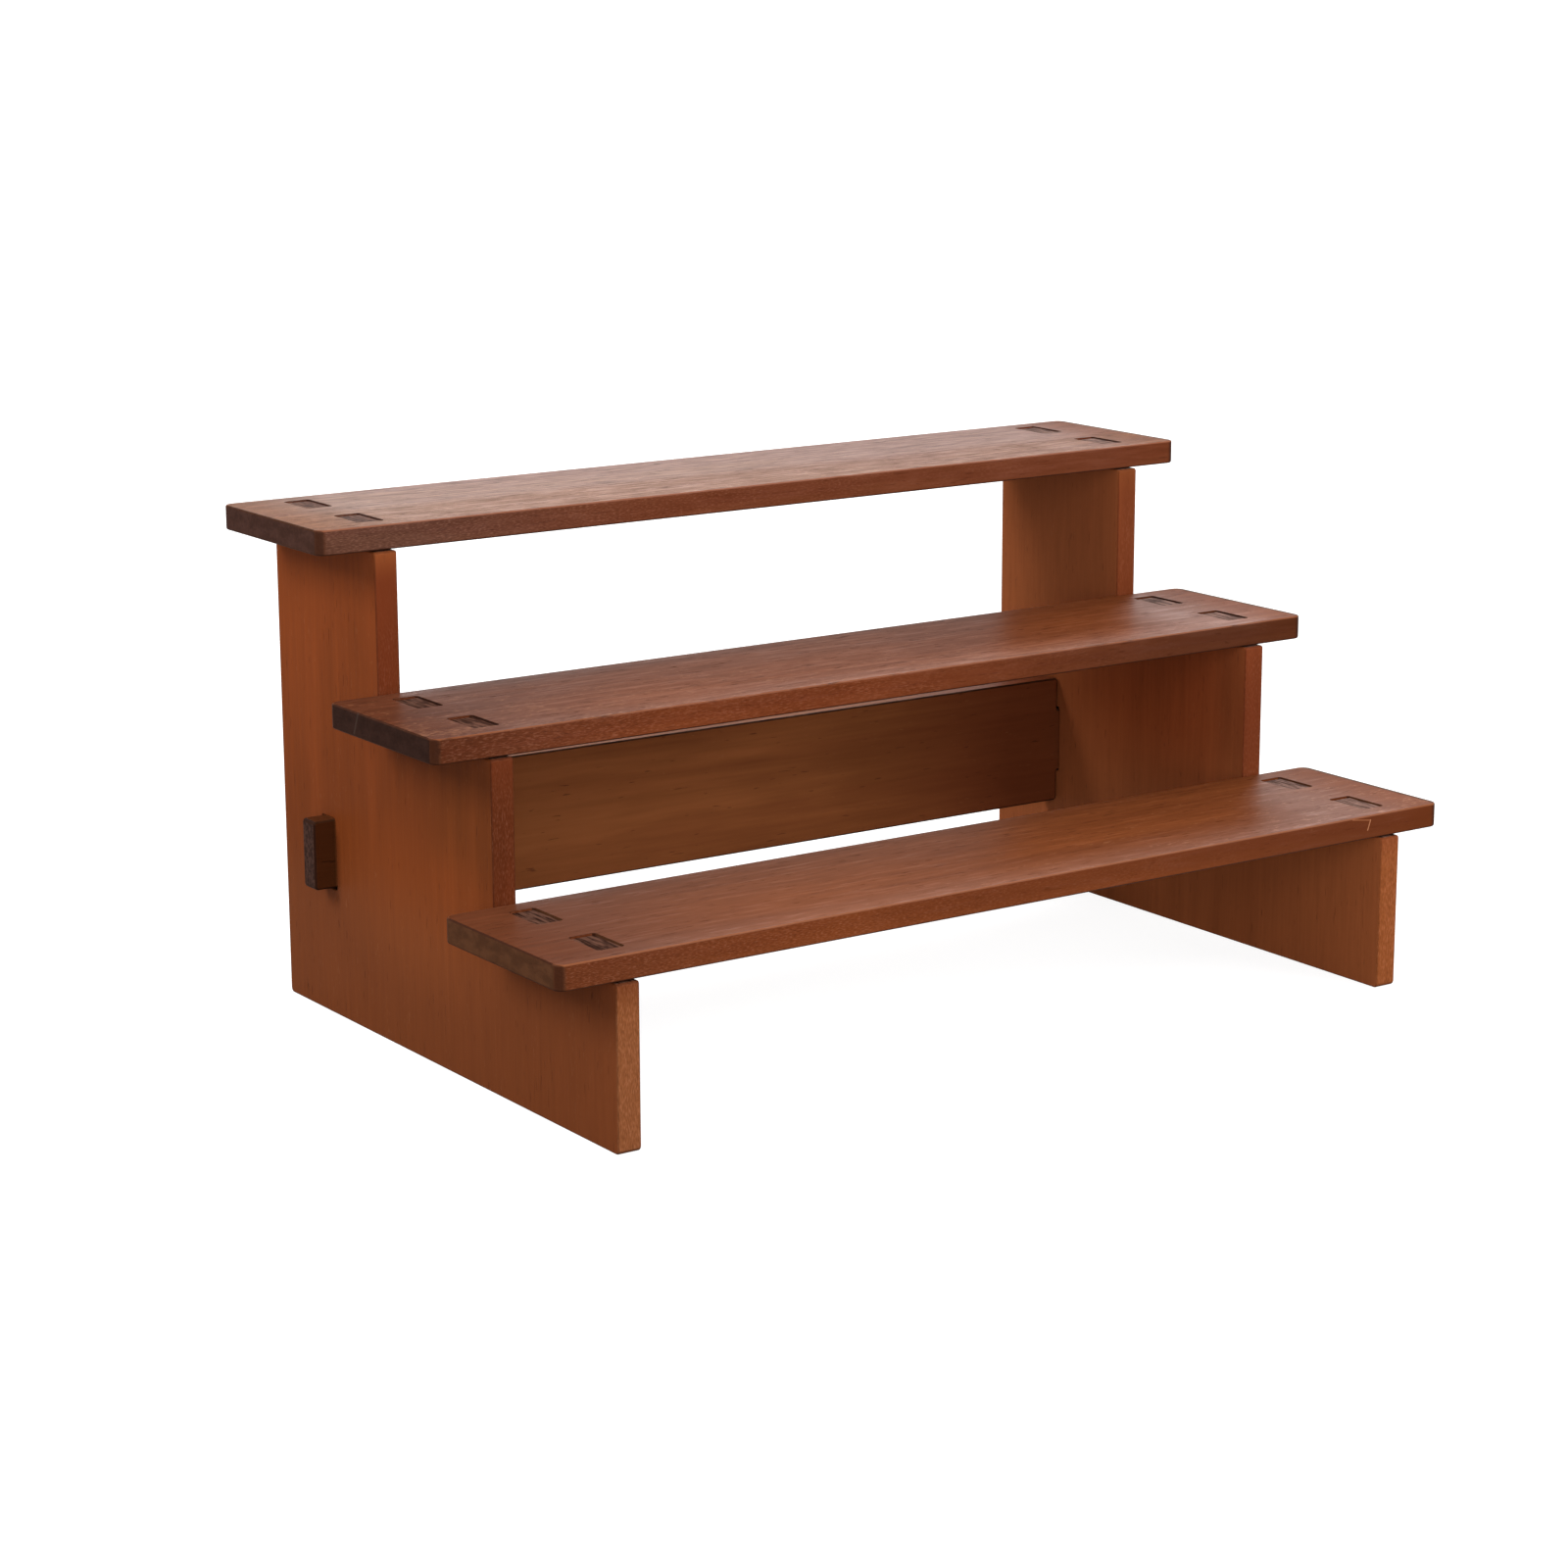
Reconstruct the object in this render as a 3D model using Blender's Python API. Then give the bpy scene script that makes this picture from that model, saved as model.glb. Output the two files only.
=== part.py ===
"""A three-tier wooden display stand that knocks down into six boards.

Two stepped side panels stand on their bottom edges. A rail near the back holds them apart with a
through tenon at each end. Three shelf boards drop over the tenons on the panels' steps, rest on
the steps' shoulders, and lift straight off again.

Metres. X runs along the shelves, +Y to the back, +Z up. The origin is on the table, under the
middle of the stand.
"""

import math

import bmesh
import bpy
from mathutils import Matrix, Vector

# Shelf boards, from the bottom tier to the top tier
TIERS = ("bottom", "middle", "top")
SHELF_LENGTH = 0.300
SHELF_DEPTH = 0.058
SHELF_THICKNESS = 0.007
SHELF_CORNER_RADIUS = 0.0024
SHELF_EDGE_RADIUS = 0.0006
SHELF_OVERHANG = 0.0163  # shelf end, past the outer face of the panel
SHELF_SETBACK = 0.0008  # shelf front, behind the front edge of its step
RISER_GAP = 0.0018  # shelf back, short of the next step's riser

# Side panels
PANEL_THICKNESS = 0.007
PANEL_CORNER_RADIUS = 0.0008
PANEL_EDGE_RADIUS = 0.0005
FIRST_STEP_HEIGHT = 0.0451  # table to the shoulder under the bottom shelf
STEP_RISE = 0.0463  # from one shoulder to the next

# Tenons that stand up from each step, two to a shelf end
TENON_MARGIN = 0.007  # shelf edge to the near side of a tenon
TENON_GAP = 0.016  # between the two tenons of a step
TENON_RECESS = 0.0004  # tenon top, below the shelf's top face
MORTISE_CLEARANCE = 0.0005  # round each tenon in its mortise

# Back rail
RAIL_HEIGHT = 0.0395
RAIL_THICKNESS = 0.007
RAIL_CORNER_RADIUS = 0.0008
RAIL_EDGE_RADIUS = 0.0005
RAIL_CENTRE_HEIGHT = 0.0474  # table to the rail's mid height
RAIL_SETBACK = 0.0235  # rail's back face, in from the panels' back edges
RAIL_SHOULDER = 0.00975  # rail left above and below its tenon
RAIL_TENON_PROUD = 0.0065  # tenon end, past the outer face of the panel
RAIL_TENON_CLEARANCE = 0.0004  # round the tenon in its mortise

SEAT_GAP = 0.0003  # between faces that rest against each other

# Facets of a rounded corner and of an eased edge
CORNER_STEPS = 5
EDGE_STEPS = 2
SMOOTH_ANGLE = math.radians(35)
SAME_PLACE = 1e-6  # points nearer than this are on one level

# Stained wood: linear colour and roughness for each kind of board
SHELF_COLOUR = (0.190, 0.058, 0.028)
PANEL_COLOUR = (0.235, 0.066, 0.023)
RAIL_COLOUR = (0.175, 0.055, 0.022)
SHELF_ROUGHNESS = 0.42
PANEL_ROUGHNESS = 0.50
RAIL_ROUGHNESS = 0.46

# Places that follow from the sizes above
STEP_PITCH = SHELF_SETBACK + SHELF_DEPTH + RISER_GAP
PANEL_DEPTH = (len(TIERS) - 1) * STEP_PITCH + SHELF_SETBACK + SHELF_DEPTH
PANEL_FRONT = -PANEL_DEPTH / 2
PANEL_BACK = PANEL_DEPTH / 2
PANEL_OUTER_X = SHELF_LENGTH / 2 - SHELF_OVERHANG
PANEL_INNER_X = PANEL_OUTER_X - PANEL_THICKNESS
TENON_WIDTH = (SHELF_DEPTH - TENON_GAP) / 2 - TENON_MARGIN
TENON_HEIGHT = SEAT_GAP + SHELF_THICKNESS - TENON_RECESS
RAIL_BACK = PANEL_BACK - RAIL_SETBACK
RAIL_TENON_HEIGHT = RAIL_HEIGHT - 2 * RAIL_SHOULDER

# Which way a board's outline (u, v) and its thickness w run
UPRIGHT_SIDEWAYS = (Vector((0, 1, 0)), Vector((0, 0, 1)), Vector((1, 0, 0)))
UPRIGHT_ACROSS = (Vector((1, 0, 0)), Vector((0, 0, 1)), Vector((0, -1, 0)))
LYING_FLAT = (Vector((1, 0, 0)), Vector((0, 1, 0)), Vector((0, 0, 1)))


def riser_y(tier):
    """The front of a step, counted from the bottom tier."""
    return PANEL_FRONT + tier * STEP_PITCH


def shoulder_z(tier):
    """The top of a step, where its shelf rests."""
    return FIRST_STEP_HEIGHT + tier * STEP_RISE


def shelf_front(tier):
    """The front edge of the shelf on a step."""
    return riser_y(tier) + SHELF_SETBACK


def tenon_spans(tier):
    """The two stretches of Y that the tenons of a step fill, front one first."""
    front = shelf_front(tier) + TENON_MARGIN
    back = front + TENON_WIDTH + TENON_GAP
    return (front, front + TENON_WIDTH), (back, back + TENON_WIDTH)


def rounded_outline(corners):
    """Points round a closed outline of square corners (u, v, radius), with an arc for each radius."""
    points = []
    for index, (u, v, radius) in enumerate(corners):
        corner = Vector((u, v))
        if radius == 0:
            points.append(corner)
            continue
        before = (Vector(corners[index - 1][:2]) - corner).normalized()
        after = (Vector(corners[(index + 1) % len(corners)][:2]) - corner).normalized()
        centre = corner + radius * (before + after)
        for step in range(CORNER_STEPS + 1):
            turn = math.pi / 2 * step / CORNER_STEPS
            points.append(centre - radius * (after * math.cos(turn) + before * math.sin(turn)))
    return points


def rectangle(low_u, low_v, high_u, high_v, radius):
    """The outline of a rectangle with four rounded corners."""
    ends = ((low_u, low_v), (high_u, low_v), (high_u, high_v), (low_u, high_v))
    return rounded_outline([(u, v, radius) for u, v in ends])


def slab(mesh, outline, thickness, start=0.0):
    """Adds a closed slab of the outline, from w = start up to start + thickness."""
    base = mesh.faces.new([mesh.verts.new((*point, start)) for point in outline])
    grown = bmesh.ops.extrude_face_region(mesh, geom=[base])["geom"]
    raised = [part for part in grown if isinstance(part, bmesh.types.BMVert)]
    bmesh.ops.translate(mesh, vec=(0, 0, thickness), verts=raised)


def ease_face_edges(mesh, radius, square_levels=()):
    """Rounds the edges round both faces of a slab, but not those that run along a v of square_levels."""
    rim = []
    for edge in mesh.edges:
        start, end = (vertex.co for vertex in edge.verts)
        in_face = math.isclose(start.z, end.z, abs_tol=SAME_PLACE)
        along_v = math.isclose(start.y, end.y, abs_tol=SAME_PLACE)
        square = along_v and any(math.isclose(start.y, v, abs_tol=SAME_PLACE) for v in square_levels)
        if in_face and not square:
            rim.append(edge)
    bmesh.ops.bevel(mesh, geom=rim, offset=radius, segments=EDGE_STEPS, profile=0.5, affect="EDGES")


def mesh_object(name, mesh, axes, parent):
    """Turns slabs drawn in (u, v, w) to their place's axes and makes them one object."""
    mesh.transform(Matrix(axes).transposed().to_4x4())
    bmesh.ops.recalc_face_normals(mesh, faces=mesh.faces)
    data = bpy.data.meshes.new(name)
    mesh.to_mesh(data)
    mesh.free()
    piece = bpy.data.objects.new(name, data)
    piece.parent = parent
    bpy.context.scene.collection.objects.link(piece)
    return piece


def finish_board(piece, colour, roughness):
    """Smooth shading on the eased edges, and the board's own stained wood."""
    piece.data.shade_smooth()
    piece.data.set_sharp_from_angle(angle=SMOOTH_ANGLE)
    wood = bpy.data.materials.new(piece.name + "_wood")
    wood.use_nodes = True
    shader = wood.node_tree.nodes["Principled BSDF"]
    shader.inputs["Base Color"].default_value = (*colour, 1)
    shader.inputs["Roughness"].default_value = roughness
    shader.inputs["Metallic"].default_value = 0
    piece.data.materials.append(wood)


def cut_mortises(piece, outlines, thickness, axes):
    """Cuts slots of these outlines right through a board."""
    mesh = bmesh.new()
    for outline in outlines:
        slab(mesh, outline, 3 * thickness, -thickness)
    cutter = mesh_object(piece.name + "_mortise_cutter", mesh, axes, piece)
    cutter.hide_render = True
    cutter.display_type = "WIRE"
    cut = piece.modifiers.new("mortises", "BOOLEAN")
    cut.operation = "DIFFERENCE"
    cut.solver = "EXACT"
    cut.object = cutter


def side_panel(name, near_x, stand):
    """A stepped upright with two tenons on each step and a mortise for the rail."""
    corners = [(PANEL_FRONT, 0, PANEL_CORNER_RADIUS)]
    tenon_tops = [shoulder_z(tier) + TENON_HEIGHT for tier in range(len(TIERS))]
    for tier, tenon_top in enumerate(tenon_tops):
        shoulder = shoulder_z(tier)
        if tier > 0:
            corners.append((riser_y(tier), shoulder_z(tier - 1), 0))
        corners.append((riser_y(tier), shoulder, PANEL_CORNER_RADIUS))
        for front, back in tenon_spans(tier):
            corners += [(front, shoulder, 0), (front, tenon_top, 0)]
            corners += [(back, tenon_top, 0), (back, shoulder, 0)]
    corners.append((PANEL_BACK, shoulder_z(len(TIERS) - 1), PANEL_CORNER_RADIUS))
    corners.append((PANEL_BACK, 0, PANEL_CORNER_RADIUS))

    mesh = bmesh.new()
    slab(mesh, rounded_outline(corners), PANEL_THICKNESS)
    ease_face_edges(mesh, PANEL_EDGE_RADIUS, tenon_tops)
    panel = mesh_object(name, mesh, UPRIGHT_SIDEWAYS, stand)
    panel.location.x = near_x
    finish_board(panel, PANEL_COLOUR, PANEL_ROUGHNESS)

    half_height = RAIL_TENON_HEIGHT / 2 + RAIL_TENON_CLEARANCE
    rail_mortise = rectangle(
        RAIL_BACK - RAIL_THICKNESS - RAIL_TENON_CLEARANCE,
        RAIL_CENTRE_HEIGHT - half_height,
        RAIL_BACK + RAIL_TENON_CLEARANCE,
        RAIL_CENTRE_HEIGHT + half_height,
        RAIL_EDGE_RADIUS + RAIL_TENON_CLEARANCE,
    )
    cut_mortises(panel, [rail_mortise], PANEL_THICKNESS, UPRIGHT_SIDEWAYS)


def back_rail(stand):
    """A board on edge between the panels, with a through tenon at each end."""
    half_length = PANEL_INNER_X - SEAT_GAP
    tenon_end = PANEL_OUTER_X + RAIL_TENON_PROUD
    half_height = RAIL_HEIGHT / 2
    half_tenon = RAIL_TENON_HEIGHT / 2
    corners = []
    for side in (1, -1):
        corners += [
            (side * half_length, -side * half_height, RAIL_CORNER_RADIUS),
            (side * half_length, -side * half_tenon, 0),
            (side * tenon_end, -side * half_tenon, RAIL_CORNER_RADIUS),
            (side * tenon_end, side * half_tenon, RAIL_CORNER_RADIUS),
            (side * half_length, side * half_tenon, 0),
            (side * half_length, side * half_height, RAIL_CORNER_RADIUS),
        ]

    mesh = bmesh.new()
    slab(mesh, rounded_outline(corners), RAIL_THICKNESS)
    ease_face_edges(mesh, RAIL_EDGE_RADIUS)
    rail = mesh_object("back_rail", mesh, UPRIGHT_ACROSS, stand)
    rail.location = (0, RAIL_BACK, RAIL_CENTRE_HEIGHT)
    finish_board(rail, RAIL_COLOUR, RAIL_ROUGHNESS)


def shelf(tier, stand):
    """A flat board with rounded corners and a mortise over each tenon of its two steps.

    Its origin is under its middle, on the line along which it lifts off.
    """
    half_length = SHELF_LENGTH / 2
    half_depth = SHELF_DEPTH / 2
    middle_y = shelf_front(tier) + half_depth
    mesh = bmesh.new()
    plan = rectangle(-half_length, -half_depth, half_length, half_depth, SHELF_CORNER_RADIUS)
    slab(mesh, plan, SHELF_THICKNESS)
    ease_face_edges(mesh, SHELF_EDGE_RADIUS)
    board = mesh_object(TIERS[tier] + "_shelf", mesh, LYING_FLAT, stand)
    board.location = (0, middle_y, shoulder_z(tier) + SEAT_GAP)
    finish_board(board, SHELF_COLOUR, SHELF_ROUGHNESS)

    mortises = []
    for near_x in (-PANEL_OUTER_X, PANEL_INNER_X):
        for front, back in tenon_spans(tier):
            mortises.append(
                rectangle(
                    near_x - MORTISE_CLEARANCE,
                    front - middle_y - MORTISE_CLEARANCE,
                    near_x + PANEL_THICKNESS + MORTISE_CLEARANCE,
                    back - middle_y + MORTISE_CLEARANCE,
                    PANEL_EDGE_RADIUS + MORTISE_CLEARANCE,
                )
            )
    cut_mortises(board, mortises, SHELF_THICKNESS, LYING_FLAT)


for leftover in list(bpy.data.objects):
    bpy.data.objects.remove(leftover, do_unlink=True)

display_stand = bpy.data.objects.new("display_stand", None)
bpy.context.scene.collection.objects.link(display_stand)
side_panel("left_side_panel", -PANEL_OUTER_X, display_stand)
side_panel("right_side_panel", PANEL_INNER_X, display_stand)
back_rail(display_stand)
for tier_number in range(len(TIERS)):
    shelf(tier_number, display_stand)
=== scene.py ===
"""Looks of the wooden tiered display stand: six stained boards pushed together with tenons and no metal."""
import math
from functools import partial

import bmesh
import bpy
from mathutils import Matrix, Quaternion, Vector


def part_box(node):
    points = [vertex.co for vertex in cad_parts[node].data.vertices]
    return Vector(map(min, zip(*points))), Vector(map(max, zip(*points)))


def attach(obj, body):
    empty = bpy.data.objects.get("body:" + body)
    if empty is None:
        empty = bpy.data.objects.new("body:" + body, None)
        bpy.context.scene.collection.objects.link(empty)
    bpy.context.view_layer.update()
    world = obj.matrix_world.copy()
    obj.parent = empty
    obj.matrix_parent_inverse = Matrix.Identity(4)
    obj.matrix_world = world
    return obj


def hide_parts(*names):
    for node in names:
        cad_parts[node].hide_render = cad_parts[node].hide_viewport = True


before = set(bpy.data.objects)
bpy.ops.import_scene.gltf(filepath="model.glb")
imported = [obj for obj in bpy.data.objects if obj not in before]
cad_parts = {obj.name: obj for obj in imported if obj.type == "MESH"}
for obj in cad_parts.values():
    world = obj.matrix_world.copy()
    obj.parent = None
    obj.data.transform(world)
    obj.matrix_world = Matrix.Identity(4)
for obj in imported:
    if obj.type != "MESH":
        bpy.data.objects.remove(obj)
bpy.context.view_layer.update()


# Side panels: two stepped uprights sawn from 7 mm board with the grain standing up, sanded and stained.
# Each of the three steps is a shoulder with two tenons that go up through a shelf. A mortise low at the back
# takes the rail. All edges are eased by hand apart from the tops of the tenons, which are left as sawn.
PANEL_EASE = 0.0005
PANEL_CORNER = 0.0008
PANEL_FOOT_CORNER = 0.0014
PANEL_INNER_CORNER = 0.0003
FIRST_STEP = 0.0451
STEP_RISE = 0.0463
STEP_PITCH = 0.0606
TENON_CORNER = 0.0003
TENON_WIDTH = 0.014
TENON_PITCH = 0.030
TENON_TOP = 0.0069
RAIL_TENON_LOW, RAIL_TENON_HIGH = 0.0374, 0.0574
RAIL_MORTISE_ROOM = 0.0004
RAIL_MORTISE_CORNER = 0.0009


def round_corner(before, corner, after, radius, steps=6):
    """Points round one corner of an outline with the wood on its left, each with its outward direction."""
    come = (corner - before).normalized()
    go = (after - corner).normalized()
    turn = math.atan2(come.x * go.y - come.y * go.x, come.dot(go))
    side = math.copysign(radius, turn)
    centre = corner - come * radius * math.tan(abs(turn) / 2) + Vector((-come.y, come.x)) * side
    points = []
    for step in range(steps + 1):
        angle = turn * step / steps
        outward = Vector((come.y * math.cos(angle) + come.x * math.sin(angle),
                          come.y * math.sin(angle) - come.x * math.cos(angle)))
        points.append((centre + outward * side, outward))
    return points


def sawn_outline(corners):
    """Outline through corners of (across, up, radius, left square), as points with outward directions."""
    places = [Vector(corner[:2]) for corner in corners]
    outline = []
    for index, (_, _, radius, square) in enumerate(corners):
        after = places[(index + 1) % len(places)]
        for point, outward in round_corner(places[index - 1], places[index], after, radius):
            if square:
                sideways = outward.x if abs(outward.x) > 0.01 else point.x - after.x
                outward = Vector((math.copysign(1, sideways), 0))
            outline.append((point, outward))
    return outline


def eased_board(loops, thickness, ease, place, steps=5):
    """Board mesh between two flat faces, its sawn edges rounded over. loops are its outline and holes."""
    quarter = [math.pi / 2 * step / steps for step in range(steps + 1)]
    rounding = [(ease * (1 - math.sin(a)), thickness / 2 - ease * (1 - math.cos(a))) for a in quarter]
    rows = rounding + [(inset, -height) for inset, height in reversed(rounding)]
    board = bmesh.new()
    rims = ([], [])
    for loop in loops:
        rings = [[board.verts.new(place(point - outward * inset, height)) for point, outward in loop]
                 for inset, height in rows]
        for ring, below in zip(rings, rings[1:]):
            for i in range(len(loop)):
                board.faces.new((ring[i - 1], ring[i], below[i], below[i - 1]))
        for rim, ring in zip(rims, (rings[0], rings[-1])):
            rim.extend(board.edges.get((ring[i - 1], ring[i])) for i in range(len(loop)))
    for rim in rims:
        bmesh.ops.triangle_fill(board, use_beauty=True, edges=rim)
    bmesh.ops.recalc_face_normals(board, faces=board.faces)
    mesh = bpy.data.meshes.new("board")
    board.to_mesh(mesh)
    board.free()
    return mesh


def finished_piece(name, board, material):
    """Object of a board whose flat faces shade flat up to its rounded edges, as a plain mesh."""
    board.shade_smooth()
    board.set_sharp_from_angle(angle=math.radians(50))
    piece = bpy.data.objects.new(name, board)
    bpy.context.scene.collection.objects.link(piece)
    flat = piece.modifiers.new("flat faces", "WEIGHTED_NORMAL")
    flat.keep_sharp = True
    shaded = piece.evaluated_get(bpy.context.evaluated_depsgraph_get())
    piece.data = bpy.data.meshes.new_from_object(shaded)
    piece.data.name = name
    piece.modifiers.remove(flat)
    piece.data.materials.clear()
    piece.data.materials.append(material)
    return piece


def add_node(tree, kind, sockets=None, **settings):
    """Node with its settings, and its inputs given a value or joined to another node's output."""
    node = tree.nodes.new(kind)
    for name, value in settings.items():
        setattr(node, name, value)
    for key, value in (sockets or {}).items():
        if isinstance(value, bpy.types.NodeSocket):
            tree.links.new(value, node.inputs[key])
        else:
            node.inputs[key].default_value = value
    return node


def work_out(tree, operation, *terms):
    """Output of a Math node on up to three terms."""
    return add_node(tree, "ShaderNodeMath", dict(enumerate(terms)), operation=operation).outputs[0]


def work_out_way(tree, operation, *terms):
    """Output of a Vector Math node, which is a number for a length, a distance or a dot product."""
    node = add_node(tree, "ShaderNodeVectorMath", dict(enumerate(terms)), operation=operation)
    return node.outputs["Value" if operation in ("LENGTH", "DISTANCE", "DOT_PRODUCT") else "Vector"]


def fade(tree, value, low, high, start=0.0, end=1.0):
    """Value eased from start at low to end at high."""
    return add_node(tree, "ShaderNodeMapRange",
                    {"Value": value, "From Min": low, "From Max": high, "To Min": start, "To Max": end},
                    interpolation_type="SMOOTHSTEP").outputs[0]


def paint_over(tree, mask, under, over, blend_type="MIX"):
    """Colour under another one, by a mask."""
    return add_node(tree, "ShaderNodeMix", {0: mask, 6: under, 7: over},
                    data_type="RGBA", blend_type=blend_type).outputs[2]


def fibre_noise(tree, place, size, shift, detail, roughness):
    """Noise in cells of a size in millimetres, where X runs along the fibres."""
    cells = work_out_way(tree, "ADD", work_out_way(tree, "DIVIDE", place, size), shift)
    noise = add_node(tree, "ShaderNodeTexNoise",
                     {"Vector": cells, "Scale": 1.0, "Detail": detail, "Roughness": roughness})
    return noise.outputs["Fac"]


def new_group(name, inputs, outputs):
    """Shader group with named inputs and outputs, and the sockets to build it with."""
    tree = bpy.data.node_groups.new(name, "ShaderNodeTree")
    for label, value in inputs.items():
        kind = "Float" if isinstance(value, float) else {3: "Vector", 4: "Color"}[len(value)]
        socket = tree.interface.new_socket(label, in_out="INPUT", socket_type="NodeSocket" + kind)
        socket.default_value = value
    for label, kind in outputs.items():
        tree.interface.new_socket(label, in_out="OUTPUT", socket_type="NodeSocket" + kind)
    return tree, add_node(tree, "NodeGroupInput").outputs, add_node(tree, "NodeGroupOutput").inputs


# Figure of a solid board, read in millimetres with X along the fibres, so that faces, edges and ends agree.
ZERO = (0.0, 0.0, 0.0)
FIGURE_INPUTS = {
    "Place": ZERO, "Figure": ZERO,
    "Ring Centre": (0.0, -90.0, 60.0), "Ring Spacing": 4.0, "Ring Waver": 6.0,
    "Streak Size": (26.0, 2.6, 2.6), "Pore Cover": 0.33,
    "Fleck Size": (4.0, 1.2, 1.2), "Fleck Cover": 0.33, "Fleck Lean": ZERO}
FIGURE_OUTPUTS = ("Bands", "Clouds", "Rings", "Streaks", "Pores", "Flecks", "Grain", "Crowding")

figure_group, given, result = new_group(
    "board figure", FIGURE_INPUTS, dict.fromkeys(FIGURE_OUTPUTS, "Float"))
place = work_out_way(figure_group, "ADD", given["Place"], given["Figure"])
figure_math = partial(work_out, figure_group)
figure_fade = partial(fade, figure_group)
figure_noise = partial(fibre_noise, figure_group, place)

bands = figure_noise(size=(150.0, 7.0, 7.0), shift=(3.1, 0.7, 5.2), detail=3.0, roughness=0.55)
clouds = figure_noise(size=(60.0, 24.0, 24.0), shift=(8.4, 2.9, 1.3), detail=2.0, roughness=0.5)

waver = figure_noise(size=(85.0, 26.0, 26.0), shift=(1.7, 6.1, 4.4), detail=2.0, roughness=0.5)
waver = figure_math("MULTIPLY", figure_math("SUBTRACT", waver, 0.5), given["Ring Waver"])
across = work_out_way(figure_group, "SUBTRACT", place, given["Ring Centre"])
across = work_out_way(figure_group, "MULTIPLY", across, (0.0, 1.0, 1.0))
radius = work_out_way(figure_group, "LENGTH", across)
year = figure_math("DIVIDE", figure_math("ADD", radius, waver), given["Ring Spacing"])
year = figure_math("FRACT", year)
rings = figure_math("MULTIPLY", figure_fade(year, 0.25, 0.9), figure_fade(year, 0.9, 1.0, 1.0, 0.0))

streaks = figure_noise(size=given["Streak Size"], shift=(5.5, 1.9, 7.3), detail=4.0, roughness=0.6)
grain = figure_noise(size=(1.2, 0.24, 0.24), shift=(1.6, 4.3, 2.8), detail=1.0, roughness=0.5)

crowding = figure_noise(size=(15.0, 6.0, 6.0), shift=(7.7, 0.2, 3.9), detail=2.0, roughness=0.5)
crowding = figure_math("SUBTRACT", crowding, 0.5)
pores = figure_noise(size=(6.0, 0.65, 0.65), shift=(2.2, 9.1, 0.4), detail=1.0, roughness=0.5)
pores = figure_math("MULTIPLY_ADD", crowding, -0.25, pores)
pores = figure_math("SUBTRACT", pores, figure_math("SUBTRACT", 1.0, given["Pore Cover"]))
pores = figure_fade(pores, 0.0, 0.07)

lean = work_out_way(figure_group, "DOT_PRODUCT", given["Place"], given["Fleck Lean"])
lean = figure_math("ADD", lean, figure_math("SUBTRACT", given["Fleck Cover"], 1.0))
lean = figure_math("MULTIPLY_ADD", crowding, 0.5, lean)
flecks = figure_noise(size=given["Fleck Size"], shift=(6.6, 3.3, 8.8), detail=1.0, roughness=0.5)
flecks = figure_fade(figure_math("ADD", flecks, lean), 0.0, 0.12)

for label, output in zip(FIGURE_OUTPUTS, (bands, clouds, rings, streaks, pores, flecks, grain, crowding)):
    figure_group.links.new(output, result[label])

# Which way a face looks, to tell end grain and sawn edges, and where an edge is rounded over, which takes a
# painted shade line, and where it is rubbed.
facing_group, given, result = new_group(
    "facing", {"Way": (1.0, 0.0, 0.0), "From": 0.30, "To": 0.92}, {"Mask": "Float"})
normal = add_node(facing_group, "ShaderNodeTexCoord").outputs["Normal"]
facing = work_out_way(facing_group, "DOT_PRODUCT", normal, given["Way"])
facing = work_out(facing_group, "ABSOLUTE", facing)
facing_group.links.new(fade(facing_group, facing, given["From"], given["To"]), result["Mask"])

arris_shade_and_wear_group, given, result = new_group(
    "edge wear", {"Place": ZERO, "Worn Cover": 0.0}, {"Mask": "Float", "Rubbed": "Float"})
wear_math = partial(work_out, arris_shade_and_wear_group)
wear_fade = partial(fade, arris_shade_and_wear_group)
normal = add_node(arris_shade_and_wear_group, "ShaderNodeTexCoord").outputs["Normal"]
upward = add_node(arris_shade_and_wear_group, "ShaderNodeSeparateXYZ", {0: normal}).outputs[2]
normal = work_out_way(arris_shade_and_wear_group, "ABSOLUTE", normal)
parts = add_node(arris_shade_and_wear_group, "ShaderNodeSeparateXYZ", {0: normal}).outputs
steepest = wear_math("MAXIMUM", wear_math("MAXIMUM", parts[0], parts[1]), parts[2])
rubbed = fibre_noise(arris_shade_and_wear_group, given["Place"], size=(9.0, 2.0, 2.0), shift=(4.0, 4.0, 4.0),
                     detail=3.0, roughness=0.6)
rubbed = wear_fade(wear_math("ADD", rubbed, given["Worn Cover"]), 0.38, 0.58)
rubbed = wear_math("MULTIPLY", rubbed, wear_fade(upward, -0.2, 0.5, 0.1))
arris_shade_and_wear_group.links.new(wear_fade(steepest, 0.999, 0.93), result["Mask"])
arris_shade_and_wear_group.links.new(rubbed, result["Rubbed"])

# Stained wood: the stain is deeper in rings, pores and ends, and paler where an arris is rubbed. The dark
# arris tone is painted shade, and the pale flecks and speckle are painted glints. The varnish lies thin over
# it, broken along the fibres and soaked away towards the ends. Places are in millimetres, and one far off the
# board leaves its effect out.
PLAIN_TONE = (1.0, 1.0, 1.0, 1.0)
ROUND_CORNER_TONE = (0.84, 0.80, 0.78, 1.0)
# A painted shade line runs down each shelf's far right end.
FAR_CORNER_SHADE_TONE = (0.32, 0.26, 0.30, 1.0)
FAR_CORNER_FADE = 1.3

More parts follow.
